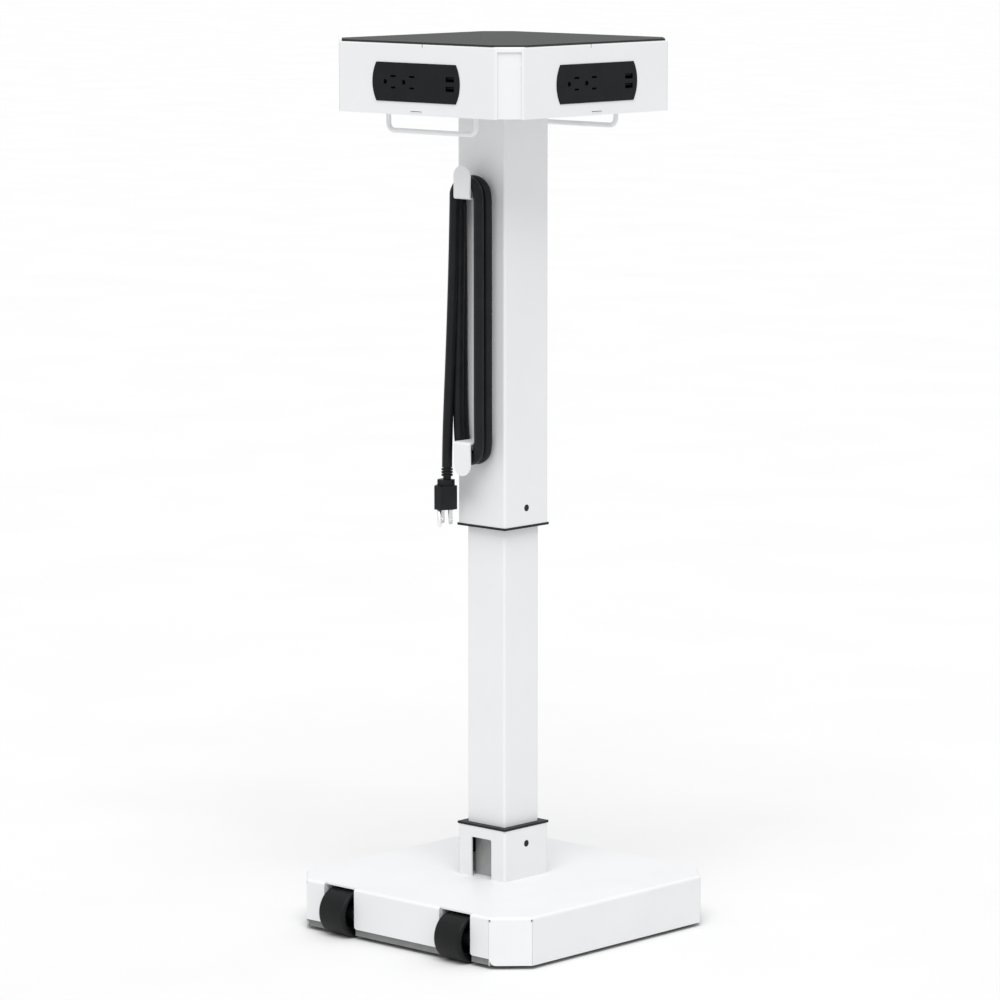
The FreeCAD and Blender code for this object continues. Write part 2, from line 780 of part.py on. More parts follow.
def make_glides():
    """Glide ring on top of the middle tube, notched at the front for the supply wires."""
    ring = square_ring("glide_ring", middle_half, outer_inner - sliding_gap, middle_top - 28, middle_top - 2)
    notch = box("glide_notch", (-wire_notch_left, -wire_notch_right), (-outer_half, -middle_half),
                (middle_top - 29, middle_top))
    finish("middle_tube_glides", cut("middle_tube_glides", ring, [notch]))


def make_gas_spring():
    """Cylinder on the post's foot, rod and piston on the head."""
    bore = spring_radius - spring_wall
    barrel = rod("spring_barrel", "z", (0, 0, post_foot), spring_top - post_foot, spring_radius)
    chamber = rod("spring_chamber", "z", (0, 0, post_foot + 6), spring_top - post_foot - 16, bore)
    guide = rod("spring_guide", "z", (0, 0, spring_top - 11), 12, spring_rod_radius + running_gap)
    finish("gas_spring_cylinder", cut("gas_spring_cylinder", barrel, [chamber, guide]))
    piston = rod("spring_piston", "z", (0, 0, spring_piston_height), 12, bore - running_gap)
    shaft = rod("spring_shaft", "z", (0, 0, spring_piston_height), hanger_top + 6 - spring_piston_height,
                spring_rod_radius)
    nut = rod("spring_nut", "z", (0, 0, hanger_top), 5, spring_rod_radius * 1.7)
    finish("gas_spring_rod", fuse("gas_spring_rod", [piston, shaft, nut]))


# ---------------------------------------------------------------- sliding half of the column


def make_outer_tube():
    tube = square_tube("outer_tube", outer_half, tube_wall, tube_corner, outer_bottom, floor_top)
    side_holes(tube, upper_nub_height)
    entry = sketch(tube, "cable_entry", "XZ_Plane", outer_half + 1)
    draw_circle(entry, gland_x, gland_z, gland_throat + fixed_gap)
    for height in bracket_screw_heights:
        draw_circle(entry, 0, height, bracket_screw_radius)
    pocket(tube, entry, tube_wall + 2)
    finish("outer_tube", tube)


def make_hanger_plate():
    """Plate on the tube's top end, screwed down to the head's floor; the gas spring hangs on it."""
    span = (-hanger_half, hanger_half)
    below = floor_top - 1
    depth = hanger_thickness + 2
    plate = box("hanger_block", span, span, (floor_top, hanger_top))
    rod_hole = rod("hanger_rod_hole", "z", (0, 0, below), depth, spring_rod_radius + fixed_gap)
    wire_notch = box("hanger_wire_notch", (-wire_notch_left, -wire_notch_right),
                     (-outer_half, -middle_inner), (below, hanger_top + 1))
    tools = [rod_hole, wire_notch]
    for number, (x, y) in enumerate(corners_of(hanger_screw_offset), 1):
        tools.append(rod(f"hanger_hole_{number}", "z", (x, y, below), depth, hanger_hole_radius))
    finish("hanger_plate", cut("hanger_plate", plate, tools))
    shank = hanger_hole_radius - fixed_gap
    socket_screws("hanger_screws", corners_of(hanger_screw_offset), floor_height, hanger_top,
                  shank, shank + 2, shank + 1)


# ---------------------------------------------------------------- head


def make_head_shell():
    """Folded sheet ring with a top flange, module openings, corner windows and tab slots."""
    shell = body("head_shell")
    height = head_top - head_bottom
    outline = draw_polygon(sketch(shell, "outline", "XY_Plane", head_bottom), octagon(head_half, head_clip))
    pad(shell, outline, height)
    round_edges(shell, "corner_bends", head_bend, lambda edge: runs_along(edge, UP))
    round_edges(shell, "top_bends", top_bend, lambda edge: at_level(edge, head_top))
    inside = sketch(shell, "inside", "XY_Plane", head_bottom)
    draw_polygon(inside, inner_octagon(head_half, head_clip, head_sheet))
    pocket(shell, inside, height - head_sheet, along_normal=True)
    opening = sketch(shell, "opening", "XY_Plane", head_top)
    span = (-head_opening_half, head_opening_half)
    draw_rectangle(opening, span, span)
    pocket(shell, opening, head_sheet)

    wall = sketch(shell, "wall", "XZ_Plane", head_half + 1)
    lip = 1.6
    draw_rectangle(wall, (-face_length / 2 + face_bow + lip, face_length / 2 - face_bow - lip),
                   (module_height - face_height / 2 + lip, module_height + face_height / 2 - lip))
    draw_rectangle(wall, (-tab_width / 2 - tab_play, tab_width / 2 + tab_play),
                   (floor_height - fixed_gap, floor_top + tab_play * 3))
    wall_cut = pocket(shell, wall, head_sheet + 2)
    polar(shell, [wall_cut], 4)

    clip_distance = (head_half * 2 - head_clip) / math.sqrt(2)
    corner_tools = []
    for number, angle in enumerate((45, 135, 225, 315), 1):
        corner_tools.append(turned_box(f"corner_window_{number}", clip_distance - head_sheet - 0.5,
                                       head_sheet + 3, corner_window_width,
                                       head_bottom - 1, head_top - corner_rim, angle))
    mark_at = 8.7
    mark_wide = 1.6
    edge_out = head_half + 1
    edge_in = head_half - 2.2
    mark_levels = (head_top - 4.2, head_top + 1)
    marks = [
        box("mark_front", (mark_at, mark_at + mark_wide), (-edge_out, -edge_in), mark_levels),
        box("mark_right", (edge_in, edge_out), (-mark_at - mark_wide, -mark_at), mark_levels),
        box("mark_rear", (mark_at, mark_at + mark_wide), (edge_in, edge_out), mark_levels),
        box("mark_left", (-edge_out, -edge_in), (-mark_at - mark_wide, -mark_at), mark_levels),
    ]
    screw_holes = [rod(f"lid_hole_{number}", "z", (x, y, head_top - 5), 8, lid_hole_radius)
                   for number, (x, y) in enumerate(lid_screw_places, 1)]
    finish("head_shell", cut("head_shell_cut", shell, corner_tools + marks + screw_holes))


def turned_box(name, inner, depth, width, bottom, top, angle):
    """A block whose inner face is at a distance from the column axis, in the direction angle."""
    block = document.addObject("Part::Box", name)
    for side, value in (("Length", depth), ("Width", width), ("Height", as_size(top) - bottom)):
        bind(block, side, value)
    cosine = math.cos(math.radians(angle))
    sine = math.sin(math.radians(angle))
    half = as_size(width) / 2
    return put(block, inner * cosine + half * sine, inner * sine - half * cosine, bottom,
               FreeCAD.Rotation(UP, angle))


def make_corner_panels():
    """Four flat panels that close the head's corner windows from inside."""
    clip_distance = (head_half * 2 - head_clip) / math.sqrt(2)
    panels = []
    for number, angle in enumerate((45, 135, 225, 315), 1):
        panels.append(turned_box(f"corner_panel_{number}", clip_distance - head_sheet * 2, head_sheet,
                                 28.6, head_bottom + 0.4, head_top - head_sheet - 0.3, angle))
    finish("head_corner_panels", group("head_corner_panels", panels))


def make_head_floor():
    """Bottom plate of the head with a tab through each wall, pierced for the tube and the hooks."""
    plate = body("head_floor")
    half = head_half - head_sheet - 0.2
    clip_distance = (head_half * 2 - head_clip) / math.sqrt(2)
    clip = half * 2 - (clip_distance - head_sheet * 2 - 0.2) * math.sqrt(2)
    outline = draw_polygon(sketch(plate, "outline", "XY_Plane", floor_height), octagon(half, clip))
    pad(plate, outline, floor_thickness)
    tabs = sketch(plate, "tabs", "XY_Plane", floor_height)
    draw_rectangle(tabs, (-tab_width / 2, tab_width / 2), (-head_half + 0.4, -half + 1))
    tab = pad(plate, tabs, floor_thickness)
    polar(plate, [tab], 4)
    holes = sketch(plate, "holes", "XY_Plane", floor_top)
    span = outer_half + 0.2
    draw_rectangle(holes, (-span, span), (-span, span))
    for y in (-hook_setback, hook_setback):
        for x in (-hook_span_half, hook_span_half):
            draw_circle(holes, x, y, hook_radius + 0.2)
    for x, y in corners_of(hanger_screw_offset):
        draw_circle(holes, x, y, hanger_hole_radius)
    pocket(plate, holes, floor_thickness)
    finish("head_floor", plate)


def make_lid():
    lid = body("lid_panel")
    outline = draw_polygon(sketch(lid, "outline", "XY_Plane", head_top), octagon(lid_half, lid_clip))
    pad(lid, outline, lid_thickness)
    lid_top = head_top + lid_thickness
    round_edges(lid, "edge", 0.5, lambda edge: at_level(edge, lid_top))
    holes = sketch(lid, "holes", "XY_Plane", head_top)
    for x, y in lid_screw_places:
        draw_circle(holes, x, y, lid_hole_radius)
    hole_depth = lid_thickness * 0.65
    pocket(lid, holes, hole_depth, along_normal=True)
    finish("lid_panel", lid)
    shank = lid_hole_radius - fixed_gap * 2
    socket_screws("lid_screws", lid_screw_places, head_top + hole_depth - fixed_gap, head_top - head_sheet,
                  shank, shank * 2, shank * 1.6, upward=False)


def make_hook(side, sign):
    """Bail of round wire under the head, its legs through the head's floor."""
    y = hook_setback * sign
    corner_x = hook_span_half - hook_bend
    corner_z = hook_rod_height + hook_bend
    name = f"bag_hook_{side}"
    down = vector(0, 0, -1)
    leg_top = floor_top + 5
    solids = [rod(name + "_bar", "x", (-corner_x, y, hook_rod_height), corner_x * 2, hook_radius)]
    for end, direction in (("left", -1), ("right", 1)):
        outward = vector(direction, 0, 0)
        solids.append(quarter_bend(f"{name}_{end}_bend", (corner_x * direction, y, corner_z),
                                   hook_bend, hook_radius, down, outward))
        solids.append(rod(f"{name}_{end}_leg", "z", (hook_span_half * direction, y, corner_z),
                          leg_top - corner_z, hook_radius))
    finish(name, fuse(name, solids))


def make_hook_nuts():
    nuts = []
    for number, (x, y) in enumerate([(a, b) for a in (-1, 1) for b in (-1, 1)], 1):
        place = (hook_span_half * x, hook_setback * y, floor_top)
        outside = rod(f"hook_nut_{number}", "z", place, 4, 4.6)
        inside = rod(f"hook_nut_{number}_bore", "z", place, 4, hook_radius)
        nuts.append(cut(f"hook_nut_{number}_cut", outside, [inside]))
    finish("hook_nuts", group("hook_nuts", nuts))


# ---------------------------------------------------------------- power modules

FACE_LIP = 1.8
BODY_LEFT = 60.0
BODY_RIGHT = 61.5
BODY_HALF_HEIGHT = 17.5
CAVITY_DEPTH = 14.0
SOCKET_SHIFTS = (0.0, 28.8)
SLOT_X = -34.5
SLOT_RISE = 6.35
SLOT_THICK = 2.2
NEUTRAL_LONG = 8.4
LIVE_LONG = 7.0
EARTH_X = -46.5
EARTH_WIDE = 5.3
USB_X = 52.6
USB_RISE = 5.3
USB_WIDE = 12.8
USB_HIGH = 6.0


def slot_places():
    """Centre x, centre z and length of every blade slot."""
    for shift in SOCKET_SHIFTS:
        yield SLOT_X + shift, module_height + SLOT_RISE, NEUTRAL_LONG
        yield SLOT_X + shift, module_height - SLOT_RISE, LIVE_LONG


def draw_earth_hole(drawing, shift):
    """A D-shaped earth hole with its flat to the left."""
    half = EARTH_WIDE / 2
    x = EARTH_X + shift
    z = module_height
    draw_polygon(drawing, [
        (x - half, z - half), (x + half * 0.2, z - half), (x + half * 0.8, z - half * 0.6), (x + half, z),
        (x + half * 0.8, z + half * 0.6), (x + half * 0.2, z + half), (x - half, z + half),
    ])


def draw_module_holes(drawing, slack):
    """The blade slots, earth holes and USB openings, each larger by slack all round."""
    for x, z, length in slot_places():
        draw_rectangle(drawing, (x - length / 2 - slack, x + length / 2 + slack),
                       (z - SLOT_THICK / 2 - slack, z + SLOT_THICK / 2 + slack))
    for shift in SOCKET_SHIFTS:
        draw_earth_hole(drawing, shift)
    for rise in (-USB_RISE, USB_RISE):
        z = module_height + rise
        draw_rectangle(drawing, (USB_X - USB_WIDE / 2, USB_X + USB_WIDE / 2),
                       (z - USB_HIGH / 2, z + USB_HIGH / 2))


def draw_bowed_plate(drawing):
    """The face plate's outline: straight top and bottom, ends bowed outward."""
    half = face_length / 2 - face_bow
    low = module_height - face_height / 2
    high = module_height + face_height / 2
    bow_radius = (face_height * face_height / 4 + face_bow * face_bow) / (face_bow * 2)
    left, right, bottom, top = -half.number, half.number, low.number, high.number
    middle = module_height.number
    drawing.addGeometry(Part.LineSegment(vector(left, bottom), vector(right, bottom)))
    drawing.addGeometry(Part.LineSegment(vector(right, top), vector(left, top)))
    tip = face_length.number / 2
    drawing.addGeometry(Part.Arc(vector(right, bottom), vector(tip, middle), vector(right, top)))
    drawing.addGeometry(Part.Arc(vector(left, top), vector(-tip, middle), vector(left, bottom)))
    for first, first_end, second, second_end in ((0, 2, 2, 1), (2, 2, 1, 1), (1, 2, 3, 1), (3, 2, 0, 1)):
        drawing.addConstraint(Sketcher.Constraint("Coincident", first, first_end, second, second_end))
    pin_point(drawing, 0, 1, -half, low)
    pin_point(drawing, 0, 2, half, low)
    pin_point(drawing, 1, 1, half, high)
    pin_point(drawing, 1, 2, -half, high)
    for arc in (2, 3):
        number = drawing.addConstraint(Sketcher.Constraint("Radius", arc, bow_radius.number))
        drawing.setExpression(f"Constraints[{number}]", bow_radius.text)
    return drawing


def make_module(side, turn):
    """One power module: face plate, socket body, brass contacts and two USB ports."""
    back = head_half - head_sheet - 1
    cavity_end = CAVITY_DEPTH - back
    lip = FACE_LIP
    plate = body(f"module_{side}_face")
    pad(plate, draw_bowed_plate(sketch(plate, "outline", "XZ_Plane", head_half)), face_proud)
    plug_in = sketch(plate, "neck", "XZ_Plane", back)
    draw_rectangle(plug_in, (-face_length / 2 + face_bow + lip, face_length / 2 - face_bow - lip),
                   (module_height - face_height / 2 + lip, module_height + face_height / 2 - lip))
    pad(plate, plug_in, head_half - back)
    rim_level = head_half.number + face_proud.number

    def outer_rim(edge):
        first, last = ends(edge)
        return abs(first.y + rim_level) < 1e-4 and abs(last.y + rim_level) < 1e-4

    round_edges(plate, "rim", 0.5, outer_rim)
    holes = sketch(plate, "holes", "XZ_Plane", head_half + face_proud)
    draw_module_holes(holes, 0)
    pocket(plate, holes, face_proud + head_sheet + 2)
    finish(f"module_{side}_face", plate, turn)

    block = body(f"module_{side}_body")
    outline = sketch(block, "outline", "XZ_Plane", back)
    draw_rectangle(outline, (-BODY_LEFT, BODY_RIGHT),
                   (module_height - BODY_HALF_HEIGHT, module_height + BODY_HALF_HEIGHT))
    pad(block, outline, module_depth, reverse=True)
    cavities = sketch(block, "cavities", "XZ_Plane", back)
    draw_module_holes(cavities, 0.8)
    pocket(block, cavities, CAVITY_DEPTH)
    finish(f"module_{side}_body", block, turn)

    contacts = []
    for number, (x, z, length) in enumerate(slot_places(), 1):
        contacts.append(box(f"contact_{side}_{number}", (x - 3, x + 3),
                            (-back + 3, cavity_end), (z - SLOT_THICK / 2 - 0.8, z - SLOT_THICK / 2 - 0.1)))
    for number, shift in enumerate(SOCKET_SHIFTS, 1):
        x = EARTH_X + shift
        contacts.append(box(f"earth_{side}_{number}", (x - 2.6, x - 2.0), (-back + 3, cavity_end),
                            (module_height - 2, module_height + 2)))
    finish(f"module_{side}_contacts", group(f"module_{side}_contacts", contacts), turn)

    ports = []
    wall = 0.5
    for number, rise in enumerate((-USB_RISE, USB_RISE), 1):
        z = module_height + rise
        half_wide = USB_WIDE / 2
        half_high = USB_HIGH / 2
        name = f"usb_{side}_{number}"
        front = -head_half - face_proud + 0.4
        can = box(name + "_can", (USB_X - half_wide, USB_X + half_wide), (front, cavity_end),
                  (z - half_high, z + half_high))
        mouth = box(name + "_mouth", (USB_X - half_wide + wall, USB_X + half_wide - wall),
                    (front - 1, cavity_end - 2), (z - half_high + wall, z + half_high - wall))
        tongue = box(name + "_tongue", (USB_X - half_wide + 1.4, USB_X + half_wide - 1.4),
                     (front + 0.8, cavity_end - 1.5), (z + 0.4, z + 2.0))
        ports.append(fuse(name, [cut(name + "_shell", can, [mouth]), tongue]))
    finish(f"module_{side}_usb", group(f"module_{side}_usb", ports), turn)


def make_junction_box():
    """Splitter box on the hanger plate, over the wires that come up the column."""
    low = hanger_top
    high = hanger_top + junction_height
    wall = junction_wall
    inner = junction_half - wall
    block = box("junction_block", (-junction_half, junction_half), (-junction_far, -junction_near),
                (low, high))
    hollow = box("junction_hollow", (-inner, inner), (wall - junction_far, -junction_near - wall),
                 (low - 1, high - wall))
    finish("junction_box", cut("junction_box", block, [hollow]))


def make_wire_harness():
    """Flat row of wires up the gap between the tubes and one lead to each module."""
    wires = []
    front = -(outer_inner + middle_half) / 2
    start = gland_z + gland_throat
    riser_top = hanger_top + junction_height / 2
    for number, place in enumerate((-1, 0, 1), 1):
        x = riser_spacing * place - riser_middle
        wires.append(rod(f"riser_{number}", "z", (x, front, start), riser_top - start, wire_radius))
    module_back = head_half - head_sheet - 1 - module_depth
    level = hanger_top + junction_height * 0.7
    middle = -(junction_near + junction_far) / 2
    aside = junction_half / 2
    side_run = module_back - junction_half
    wires.append(rod("lead_front", "y", (-aside, -module_back, level), module_back - junction_far,
                     lead_radius))
    wires.append(rod("lead_rear", "y", (aside, -junction_near, level), module_back + junction_near,
                     lead_radius))
    wires.append(rod("lead_right", "x", (junction_half, middle, level), side_run, lead_radius))
    wires.append(rod("lead_left", "x", (-module_back, middle, level), side_run, lead_radius))
    finish("wire_harness", group("wire_harness", wires))


# ---------------------------------------------------------------- cord bracket, cord and plug

def make_cord_bracket():
    """One bent strip: a bar on the tube, an arm out at each end and a round-ended tab on each arm."""
    strip = body("cord_bracket")
    back = -outer_half
    bar = back - bracket_thickness
    tab_out = -bracket_reach
    tab_in = tab_out + bracket_thickness
    low_arm = bracket_bottom + bracket_thickness
    high_arm = bracket_top - bracket_thickness
    profile = sketch(strip, "profile", "YZ_Plane")
    draw_polygon(profile, [
        (back, bracket_bottom), (back, bracket_top), (tab_in, bracket_top), (tab_in, tab_top),
        (tab_out, tab_top), (tab_out, high_arm), (bar, high_arm), (bar, low_arm),
        (tab_out, low_arm), (tab_out, tab_bottom), (tab_in, tab_bottom), (tab_in, bracket_bottom),
    ])
    pad(strip, profile, bracket_half * 2, midplane=True)

    def corner(places):
        def test(edge):
            first, _ = ends(edge)
            near = [abs(first.y - y.number) < 1e-3 and abs(first.z - z.number) < 1e-3 for y, z in places]
            return runs_along(edge, ALONG_X) and any(near)
        return test

    outer_corners = [(back, bracket_bottom), (back, bracket_top), (tab_out, high_arm), (tab_out, low_arm)]
    inner_corners = [(bar, low_arm), (bar, high_arm), (tab_in, bracket_top), (tab_in, bracket_bottom)]
    round_edges(strip, "outer_bends", bracket_thickness + 1, corner(outer_corners))
    round_edges(strip, "inner_bends", 1, corner(inner_corners))

    def tab_end(edge):
        first, _ = ends(edge)
        at_end = min(abs(first.z - tab_bottom.number), abs(first.z - tab_top.number)) < 1e-3
        return runs_along(edge, ALONG_Y) and at_end

    round_edges(strip, "tab_ends", bracket_half - 0.1, tab_end)
    holes = sketch(strip, "holes", "XZ_Plane", -bar)
    for height in bracket_screw_heights:
        draw_circle(holes, 0, height, bracket_screw_radius)
    pocket(strip, holes, bracket_thickness)
    finish("cord_bracket", strip)


def make_bracket_screws():
    screws = []
    for number, height in enumerate(bracket_screw_heights, 1):
        name = f"bracket_screw_{number}"
        head_back = -outer_half - bracket_thickness
        shank = rod(name + "_shank", "y", (0, head_back, height), bracket_thickness + tube_wall,
                    bracket_screw_radius - 0.1)
        head = rod(name + "_head", "y", (0, head_back - 1.2, height), 1.2, 4)
        socket = rod(name + "_socket", "y", (0, head_back - 1.2, height), 0.8, 1.6)
        screws.append(cut(name + "_cut", fuse(name, [shank, head]), [socket]))
    finish("bracket_screws", group("bracket_screws", screws))


def make_gland():
    """Right-angle strain relief: a disc on the tube, an elbow and a sleeve that points down."""
    middle = -cord_exit
    disc = rod("gland_disc", "y", (gland_x, -outer_half - gland_disc_thickness, gland_z),
               gland_disc_thickness, gland_disc_radius)
    throat = rod("gland_throat", "y", (gland_x, -outer_half, gland_z), tube_wall, gland_throat)
    neck = rod("gland_neck", "y", (gland_x, middle, gland_z), cord_exit - outer_half, gland_mouth_radius)
    elbow = document.addObject("Part::Sphere", "gland_elbow")
    bind(elbow, "Radius", gland_sleeve_radius)
    put(elbow, gland_x, middle, gland_z, FreeCAD.Rotation())
    sleeve = cone("gland_sleeve", "z", (gland_x, middle, gland_mouth_z), gland_z - gland_mouth_z,
                  gland_mouth_radius, gland_sleeve_radius)
    finish("cable_gland", fuse("cable_gland", [disc, throat, neck, elbow, sleeve]))


def stadium(name, radius, near, far):
    """A block with round ends about the two folds of the hank, between two distances in front."""
    parts = [
        box(name + "_block", (-radius, radius), (-far, -near), (loop_bottom, loop_top)),
        rod(name + "_low", "y", (0, -far, loop_bottom), far - near, radius),
        rod(name + "_high", "y", (0, -far, loop_top), far - near, radius),
    ]
    return fuse(name, parts)


def make_cord_hank():
    """Outer shape of the wound cord: a ring round both arms, open where the tail and the gland are."""
    outside = cord_fold + cord_radius
    near = cord_exit - cord_radius
    far = cord_front + cord_radius
    behind_tail = cord_front - cord_radius - fixed_gap
    before_gland = cord_exit + gland_sleeve_radius + fixed_gap
    ring = stadium("hank_outside", outside, near, far)
    hole = stadium("hank_inside", hank_inner, near - 1, far + 1)
    tail_room = box("hank_tail_room", (-outside - 1, -hank_inner + 1), (-far - 1, -behind_tail),
                    (loop_bottom, loop_top))
    gland_room = box("hank_gland_room", (-outside - 1, gland_x + gland_disc_radius + fixed_gap),
                     (-before_gland, -near + 1), (gland_mouth_z, gland_z + gland_disc_radius + 1))
    finish("cord_hank", cut("cord_hank", ring, [hole, tail_room, gland_room]))


def rounded_route(points):
    """Straight runs joined by tangent arcs, each as large as its two runs allow."""
    points = [vector(*point) for point in points]
    edges = []
    radii = []
    start = points[0]
    for before, corner, after in zip(points, points[1:], points[2:]):
        arriving = corner - before
        leaving = after - corner
        half_turn = arriving.getAngle(leaving) / 2
        setback = 0.45 * min(arriving.Length, leaving.Length)
        radii.append(setback / math.tan(half_turn))
        arriving.normalize()
        leaving.normalize()
        first = corner - arriving * setback
        last = corner + leaving * setback
        inward = leaving - arriving
        inward.normalize()
        depth = radii[-1] * (1 / math.cos(half_turn) - 1)
        edges.append(Part.LineSegment(start, first).toShape())
        edges.append(Part.Arc(first, corner + inward * depth, last).toShape())
        start = last
    edges.append(Part.LineSegment(start, points[-1]).toShape())
    return Part.Wire(edges), radii


CORD_TAIL_ROUTE = [
    (-18.6, -60.2, 846.2),
    (-19.8, -60.2, 800.0),
    (-21.9, -60.2, 740.0),
    (-25.2, -60.2, 670.0),
    (-29.2, -60.2, 600.0),
    (-30.9, -60.2, 560.0),
    (-31.2, -60.2, 537.0),
]


def make_cord_tail():
    """The free end of the cord, which hangs from the hank's top fold to the plug."""
    path, radii = rounded_route(CORD_TAIL_ROUTE)
    start = path.Edges[0].firstVertex().Point
    circle = Part.Circle(start, path.Edges[0].tangentAt(path.Edges[0].FirstParameter), cord_radius.number)
    solid = path.makePipeShell([Part.Wire(circle.toShape())], True, True)
    section = math.pi * cord_radius.number ** 2
    print("tail radii", [round(radius) for radius in radii],
          "volume over section times length", round(solid.Volume / (section * path.Length), 4))
    tail = document.addObject("Part::Feature", "cord_tail")
    tail.Shape = solid
    finish("cord_tail", tail)


def plug_outline(x, y, back, front, wide, narrow):
    """A shield shape: wide behind the blades, tapered forward to the earth pin."""
    return [
        (x - wide, y + back), (x - wide, y - 3), (x - narrow, y - front),
        (x + narrow, y - front), (x + wide, y - 3), (x + wide, y + back),
    ]


def make_plug():
    """Moulded plug with a ribbed strain relief, hanging with its three prongs down."""
    neck_x, _, tail_end = CORD_TAIL_ROUTE[-1]
    x = as_size(neck_x) - plug_lean
    y = -cord_front
    relief_top = as_size(tail_end) - fixed_gap * 2
    grip = body("plug_grip")
    shoulder = plug_top - 9.8
    cap_top = plug_top - 3
    lower = sketch(grip, "lower", "XY_Plane", plug_bottom)
    draw_polygon(lower, plug_outline(x, y, plug_back, plug_front, plug_half_width, plug_half_nose))
    pad(grip, lower, shoulder - plug_bottom)
    upper = sketch(grip, "upper", "XY_Plane", shoulder)
    draw_polygon(upper, plug_outline(x, y, plug_back - 0.5, plug_front - 5, plug_half_width - 3.2,
                                     plug_half_nose))
    pad(grip, upper, cap_top - shoulder)
    round_edges(grip, "sides", 1.8, lambda edge: runs_along(edge, UP))
    solids = [grip]
    rib_top = cap_top - 1
    solids.append(rod("plug_core", "z", (neck_x, y, rib_top), relief_top - rib_top, plug_core_radius))
    for number in range(3):
        rib_bottom = plug_top + 1 + rib_pitch * number
        solids.append(rod(f"plug_rib_{number + 1}", "z", (neck_x, y, rib_bottom), rib_height, rib_radius))
    finish("plug_body", fuse("plug_body", solids))

    prongs = []
    for name, shift in (("left", -blade_spacing / 2), ("right", blade_spacing / 2)):
        middle = x + shift
        prongs.append(box(f"blade_{name}", (middle - blade_thickness / 2, middle + blade_thickness / 2),
                          (y - blade_width / 2, y + blade_width / 2),
                          (prong_bottom + earth_lead, plug_bottom)))
    prongs.append(rod("earth_prong", "z", (x, y - earth_setback, prong_bottom),
                      plug_bottom - prong_bottom, earth_radius))
    finish("plug_prongs", group("plug_prongs", prongs))


# ---------------------------------------------------------------- build everything

make_base_cover()
make_ballast_plate()
make_feet()
for wheel_side, wheel_sign in (("left", -1), ("right", 1)):
    make_wheel(wheel_side, wheel_sign)
make_collar()
make_post()
make_spacers()
make_bushing("lower_bushing", collar_half, collar_top, False, lower_nub_height, True)
middle_tube = square_tube("middle_tube", middle_half, tube_wall, tube_corner, middle_bottom, middle_top)
finish("middle_tube", middle_tube)
make_glides()
make_gas_spring()
make_outer_tube()
make_bushing("upper_bushing", outer_half, outer_bottom - flange_thickness, True, upper_nub_height, False)
make_hanger_plate()
make_head_shell()
make_corner_panels()
make_head_floor()
make_lid()
for hook_side, hook_sign in (("front", -1), ("rear", 1)):
    make_hook(hook_side, hook_sign)
make_hook_nuts()
for module_side, module_turn in (("front", 0), ("right", 90), ("rear", 180), ("left", 270)):
    make_module(module_side, module_turn)
make_junction_box()
make_wire_harness()
make_cord_bracket()
make_bracket_screws()
make_gland()
make_cord_hank()
make_cord_tail()
make_plug()
document.recompute()

# ---------------------------------------------------------------- check and write

for thing in document.Objects:
    if {"Invalid", "Error"} & set(thing.State):
        raise RuntimeError(f"{thing.Name} failed: {thing.State}")
for label, thing in subparts.items():
    if thing.Shape.isNull() or not thing.Shape.isValid() or not thing.Shape.Solids:
        raise RuntimeError(f"{label} has no valid solid")

os.makedirs("parts", exist_ok=True)
for label, thing in subparts.items():
    thing.Shape.exportStep(os.path.join("parts", label + ".step"))
print(len(subparts), "sub-parts written")
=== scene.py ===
"""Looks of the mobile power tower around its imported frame. Metres, +Z up, origin on the floor."""

import json
import math

import bmesh
import bpy
from mathutils import Matrix, Vector


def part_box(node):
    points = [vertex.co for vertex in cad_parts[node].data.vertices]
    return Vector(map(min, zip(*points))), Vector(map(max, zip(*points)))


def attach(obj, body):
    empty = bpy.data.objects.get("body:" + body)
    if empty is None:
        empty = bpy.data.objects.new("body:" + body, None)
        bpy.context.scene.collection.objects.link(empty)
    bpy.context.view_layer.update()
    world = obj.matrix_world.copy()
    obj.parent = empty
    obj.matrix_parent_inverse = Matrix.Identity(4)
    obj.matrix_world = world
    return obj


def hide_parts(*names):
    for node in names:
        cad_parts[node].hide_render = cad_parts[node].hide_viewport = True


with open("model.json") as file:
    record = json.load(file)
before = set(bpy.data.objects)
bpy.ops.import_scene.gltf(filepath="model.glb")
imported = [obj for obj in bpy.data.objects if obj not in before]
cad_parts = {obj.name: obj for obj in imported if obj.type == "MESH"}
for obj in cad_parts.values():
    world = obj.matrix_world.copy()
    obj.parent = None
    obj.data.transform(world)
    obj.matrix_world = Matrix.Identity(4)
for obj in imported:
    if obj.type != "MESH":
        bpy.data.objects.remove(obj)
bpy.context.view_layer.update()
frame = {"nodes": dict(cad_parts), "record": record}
scene = bpy.context.scene

# ---------------------------------------------------------------- places worked out from the frame


def middle(node):
    """The centre of a node's box."""
    low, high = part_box(node)
    return (low + high) / 2


AXIS = Vector((0, middle("outer_tube").y, 0))


def on_axis(x, y, z):
    """A point given from the column's axis, in the frame's own coordinates."""
    return AXIS + Vector((x, y, z))


# ---------------------------------------------------------------- camera

CAMERA_TARGET = on_axis(-0.0026, -0.0024, 0.4957)
CAMERA_AZIMUTH = math.radians(42.89)
CAMERA_ELEVATION = math.radians(8.156)
CAMERA_DISTANCE = 5.3694
CAMERA_LENS = 168.71
SENSOR_WIDTH = 36
FAR_CLIP = 200


